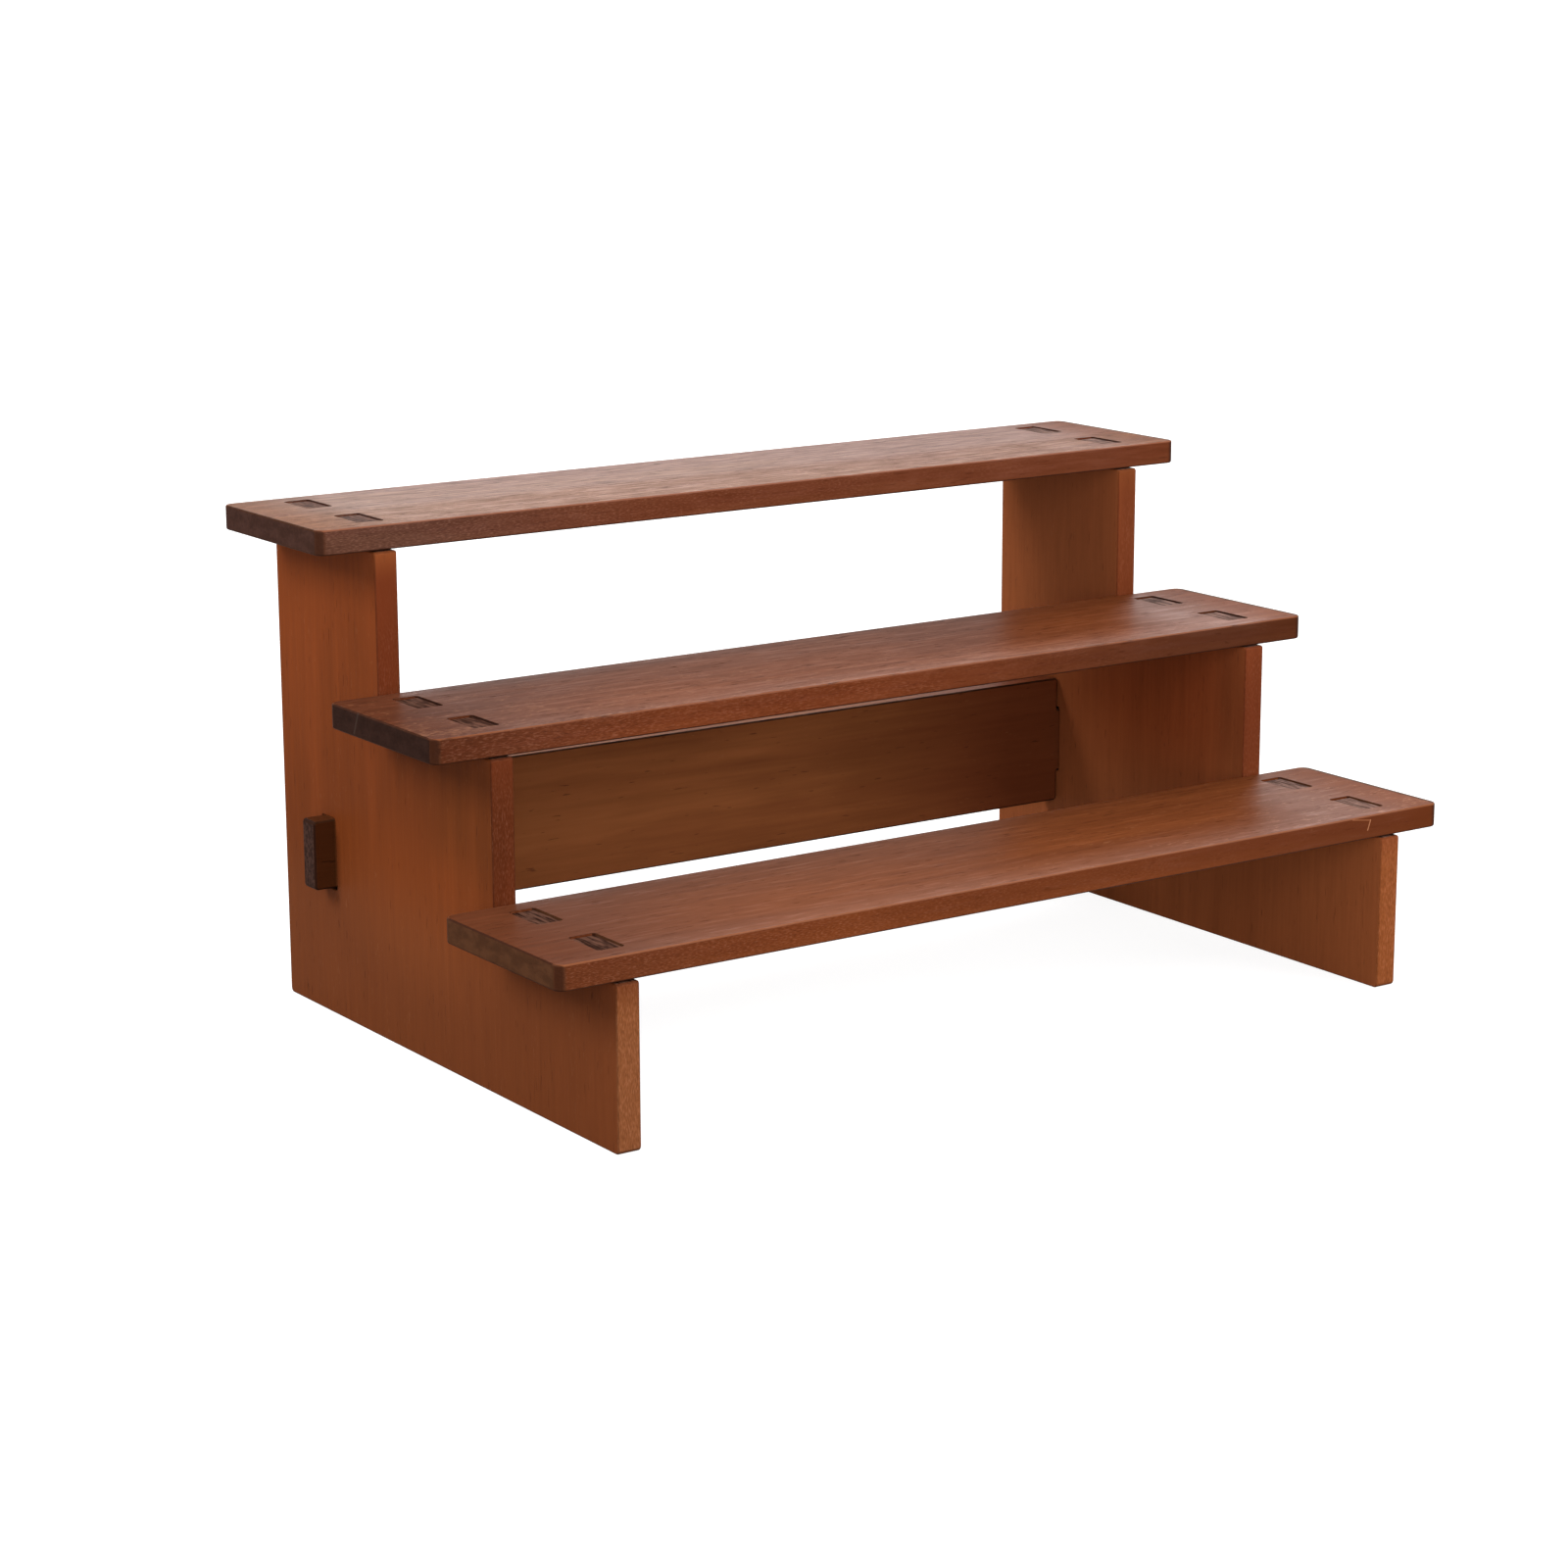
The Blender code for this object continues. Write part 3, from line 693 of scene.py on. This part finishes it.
SCRATCHES = {
    "bottom_shelf": [
        dict(start=(116.0, -29.0, 3.0), end=(122.6, -29.0, 2.1), width=0.24,
             tone=(0.42, 0.15, 0.065, 1.0), strength=0.42),
        dict(start=(122.9, -29.0, 2.1), end=(121.9, -29.0, -0.8), width=0.22,
             tone=(0.45, 0.19, 0.090, 1.0), strength=0.8)],
    "middle_shelf": [
        dict(start=(-150.0, 12.0, 3.3), end=(-150.0, 14.4, -2.4), width=0.55,
             tone=(0.060, 0.040, 0.032, 1.0), strength=0.4)],
    "top_shelf": []}
SHELF_STAINS = {
    "bottom_shelf": dict(
        figure=(15.0, 70.0, 10.0), pale=(0.180, 0.0500, 0.0143, 1.0), deep=(0.133, 0.0352, 0.0100, 1.0),
        tone_lean=(-0.0012, 0.0, 0.0), shade_tone=(0.58, 0.63, 0.95, 1.0),
        streak_size=(16.0, 2.0, 2.0), streak_strength=0.75, pore_strength=0.5,
        fleck_cover=0.27, fleck_lean=(0.0006, -0.002, 0.0),
        edge_tone=(0.905, 0.775, 0.66, 1.0), edge_far_tone=(0.83, 0.735, 0.70, 1.0), edge_middle=-40.0,
        edge_far_from=50.0, edge_far_to=190.0, end_tone=(0.060, 0.0240, 0.0105, 1.0),
        worn_tone=(0.205, 0.068, 0.028, 1.0), worn_cover=0.2, varnish_cover=0.58, varnish_break=1.2),
    "middle_shelf": dict(
        figure=(420.0, -60.0, 33.0), pale=(0.174, 0.0476, 0.0143, 1.0), deep=(0.127, 0.0330, 0.0098, 1.0),
        tone_lean=(-0.0006, 0.0, 0.0), shade_tone=(0.53, 0.60, 0.95, 1.0),
        streak_size=(16.0, 2.0, 2.0), streak_strength=1.0, pore_strength=0.7,
        fleck_cover=0.34, fleck_lean=(-0.0003, -0.002, 0.0),
        edge_tone=(0.94, 0.795, 0.69, 1.0), edge_far_tone=(0.555, 0.55, 0.62, 1.0), edge_middle=-50.0,
        edge_far_from=20.0, edge_far_to=190.0, end_tone=(0.0165, 0.0078, 0.0058, 1.0),
        worn_cover=0.1, varnish_cover=0.70),
    "top_shelf": dict(
        figure=(-260.0, 160.0, -21.0), pale=(0.157, 0.0527, 0.0140, 1.0), deep=(0.126, 0.0350, 0.0111, 1.0),
        tone_lean=(-0.001, -0.006, 0.0), shade_tone=(0.85, 0.85, 0.85, 1.0),
        streak_size=(13.0, 1.4, 1.4), streak_strength=1.9, pore_strength=0.75,
        fleck_cover=0.36, fleck_lean=(-0.0003, -0.002, 0.0),
        # The far edge tone is a painted grey sheen on the left of the front.
        edge_tone=(0.836, 0.655, 0.88, 1.0), edge_far_tone=(0.706, 0.82, 1.85, 1.0), edge_middle=110.0,
        edge_far_from=140.0, edge_far_to=250.0, end_tone=(0.037, 0.0172, 0.0140, 1.0),
        worn_tone=(0.215, 0.074, 0.038, 1.0), worn_cover=0.2,
        varnish_cover=0.56, varnish_rise=0.45, varnish_break=3.2)}

SHELF_TIERS = {"bottom_shelf": "bottom_tier", "middle_shelf": "middle_tier", "top_shelf": "top_tier"}

panel_low, panel_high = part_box("right_side_panel")
for node, tier in SHELF_TIERS.items():
    low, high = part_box(node)
    wood = stained_finish(
        node + "_wood", turn=(0.0, 0.0, 0.0), centre=(low + high) / 2, bump=0.5, gloss=0.01,
        # The end wash darkens and greys the left ends, and the far corner is a painted shade line down the
        # right end.
        shade_from=-60.0, shade_to=-150.0, fleck_size=(2.4, 0.55, 0.55), fleck_strength=0.42,
        far_corner=147.8, grain_strength=0.20, grain_lean=(-0.006, 0.0, 0.0), sawn_strength=0.2,
        worn_from=26.0, soak_from=118.0, soak_to=148.0, **SHELF_STAINS[node])
    for mark in SCRATCHES[node]:
        scratch(wood, **mark)
    shelf = bpy.data.objects.new(node + "_board", bpy.data.meshes.new("blank"))
    bpy.context.scene.collection.objects.link(shelf)
    cutting = shelf.modifiers.new("cut to shape", "NODES")
    cutting.node_group = shelf_tree
    values = {"Length": high.x - low.x, "Depth": high.y - low.y, "Thickness": high.z - low.z,
              "Corner": SHELF_CORNER, "Mortise Width": MORTISE_WIDTH, "Mortise Length": MORTISE_LENGTH,
              "Mortise Corner": MORTISE_CORNER, "Mortise Spread": panel_low.x + panel_high.x,
              "Mortise Pitch": TENON_PITCH, "Mortise Ease Share": MORTISE_EASE / SHELF_EASE,
              "Place": Vector((0.0, (low.y + high.y) / 2, low.z)), "Wood": wood}
    for socket in shelf_tree.interface.items_tree:
        if socket.name in values:
            cutting[socket.identifier] = values[socket.name]
    easing = shelf.modifiers.new("ease edges", "BEVEL")
    easing.limit_method = "WEIGHT"
    easing.width = SHELF_EASE
    easing.segments = SHELF_EASE_STEPS
    easing.loop_slide = False
    cut = bpy.data.meshes.new_from_object(shelf.evaluated_get(bpy.context.evaluated_depsgraph_get()))
    bpy.data.objects.remove(shelf)
    shelf = finished_piece(node + "_board", cut, wood)
    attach(shelf, tier)
    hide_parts(node)


# Floor and light: a plain pale floor that runs out to a white backdrop, under four large soft lamps.
# The floor glows for the camera alone, so that it looks white, keeps a faint shadow and lights nothing.
FLOOR_REACH = 40.0
FLOOR_GREY = (0.26, 0.26, 0.26, 1.0)
FLOOR_GLOW = 0.90

floor_mesh = bpy.data.meshes.new("floor")
floor_corners = [(x * FLOOR_REACH, y * FLOOR_REACH, 0.0) for x, y in ((-1, -1), (1, -1), (1, 1), (-1, 1))]
floor_mesh.from_pydata(floor_corners, [], [(0, 1, 2, 3)])
floor = bpy.data.objects.new("floor", floor_mesh)
bpy.context.scene.collection.objects.link(floor)
pale_floor = bpy.data.materials.new("pale floor")
pale_floor.use_nodes = True
tree = pale_floor.node_tree
shader = tree.nodes["Principled BSDF"]
shader.inputs["Base Color"].default_value = FLOOR_GREY
shader.inputs["Roughness"].default_value = 0.9
shader.inputs["Specular IOR Level"].default_value = 0.1
shader.inputs["Emission Strength"].default_value = FLOOR_GLOW
seen = add_node(tree, "ShaderNodeLightPath").outputs["Is Camera Ray"]
tree.links.new(seen, shader.inputs["Emission Color"])
floor_mesh.materials.append(pale_floor)


def soft_lamp(name, spot, aim, width, height, power):
    """Flat lamp of a width and height, turned to shine at a point."""
    lamp = bpy.data.lights.new(name, "AREA")
    lamp.shape = "RECTANGLE"
    lamp.size = width
    lamp.size_y = height
    lamp.energy = power
    holder = bpy.data.objects.new(name, lamp)
    holder.location = spot
    holder.visible_camera = False
    holder.rotation_euler = (Vector(aim) - Vector(spot)).to_track_quat("-Z", "Y").to_euler()
    bpy.context.scene.collection.objects.link(holder)


STAND_MIDDLE = (0.0, 0.0, 0.07)
TOP_STEP = (0.0, 0.0, 0.1)
soft_lamp("back lamp", spot=(0.845, 1.35, 1.135), aim=TOP_STEP, width=1.5, height=0.4, power=26.0)
soft_lamp("left lamp", spot=(-1.57, 0.48, 1.22), aim=STAND_MIDDLE, width=0.8, height=0.8, power=22.5)
soft_lamp("front lamp", spot=(1.05, -1.6, 0.95), aim=STAND_MIDDLE, width=1.3, height=1.3, power=33.0)
soft_lamp("fill lamp", spot=(-1.3, -1.5, 0.5), aim=STAND_MIDDLE, width=1.3, height=1.3, power=21.0)

# The studio is white for the camera. For the wood it is dim in front, brighter behind and brightest above.
WHITE = (1.0, 1.0, 1.0, 1.0)
FRONT_GLOW = (0.03, 0.03, 0.03, 1.0)
BACK_GLOW = (0.58, 0.58, 0.58, 1.0)
OVERHEAD_GLOW = (1.3, 1.3, 1.3, 1.0)
BACK_WAY = (0.58, 0.81, 0.0)

world = bpy.data.worlds.new("white studio")
bpy.context.scene.world = world
world.use_nodes = True
sky = world.node_tree
backdrop = sky.nodes["Background"]
backdrop.inputs["Strength"].default_value = 1.0
way = add_node(sky, "ShaderNodeTexCoord").outputs["Generated"]
up = add_node(sky, "ShaderNodeSeparateXYZ", {0: way}).outputs[2]
behind = work_out_way(sky, "DOT_PRODUCT", way, BACK_WAY)
glow = paint_over(sky, fade(sky, behind, -0.1, 0.6), FRONT_GLOW, BACK_GLOW)
glow = paint_over(sky, fade(sky, up, 0.25, 0.9), glow, OVERHEAD_GLOW)
seen = add_node(sky, "ShaderNodeLightPath").outputs["Is Camera Ray"]
sky.links.new(paint_over(sky, seen, glow, WHITE), backdrop.inputs["Color"])
bpy.context.scene.view_settings.view_transform = "Standard"


# Camera: at the photograph's viewing angle, a long lens with no shift and everything sharp.
CAMERA_PLACE = (-0.60235, -0.84748, 0.30647)
CAMERA_AIM = (-0.0208, 0.0, 0.06404)
CAMERA_ROLL = math.radians(-0.1865)

camera = bpy.data.cameras.new("camera")
camera.lens = 85.0
camera.sensor_width = 36.0
camera.clip_start = 0.05
viewer = bpy.data.objects.new("camera", camera)
viewer.location = CAMERA_PLACE
viewer.rotation_mode = "QUATERNION"
view_line = Vector(CAMERA_AIM) - viewer.location
viewer.rotation_quaternion = view_line.to_track_quat("-Z", "Y") @ Quaternion((0.0, 0.0, 1.0), CAMERA_ROLL)
bpy.context.scene.collection.objects.link(viewer)
bpy.context.scene.camera = viewer
